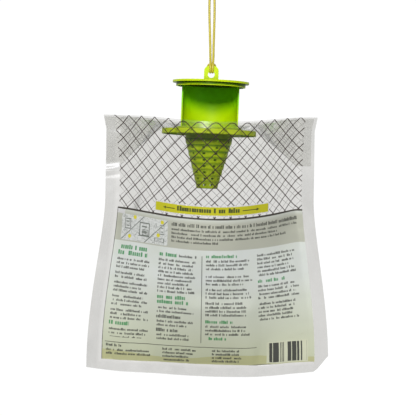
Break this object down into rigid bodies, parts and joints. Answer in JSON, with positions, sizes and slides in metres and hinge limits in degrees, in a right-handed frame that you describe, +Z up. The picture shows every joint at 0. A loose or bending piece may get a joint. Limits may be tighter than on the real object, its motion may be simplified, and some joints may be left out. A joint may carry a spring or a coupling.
{
  "type": "hanging insect trap",
  "caption": "Disposable hanging insect trap: a printed film bag under a slide-up entry cap, with a perforated entry cone, an attractant sachet and a looped hanging string.",
  "frame": {"origin": "centre of the hang eye in the tab on top of the cap", "axes": "+Z up along the cap's slide axis; +Y from the printed back of the bag towards its front, through the hang eye; +X to the right as seen from the printed back"},
  "size_m": [0.2032, 0.0878, 0.3545],
  "materials": {
    "green_plastic": "satin injection-moulded polypropylene",
    "bag_film": "clear glossy film with a printed net and label",
    "sachet_film": "thin water-soluble film",
    "powder": "fine pale brown granules",
    "string": "twisted khaki-yellow twine"
  },
  "bodies": {
    "cap": {"cap": "green_plastic", "entry_shield": "green_plastic", "hanging_string": "string", "string_knot": "string", "string_loop": "string"},
    "bag": {"funnel_flange": "green_plastic", "entry_cone": "green_plastic", "back_film": "bag_film", "front_film": "bag_film", "gusset_film": "bag_film", "sachet_film": "sachet_film", "attractant_powder": "powder"}
  },
  "joints": [
    {"name": "cap_slide", "type": "slide", "parent": "cap", "child": "bag", "axis": [0, 0, 1], "range_m": [0, 0.036]}
  ]
}
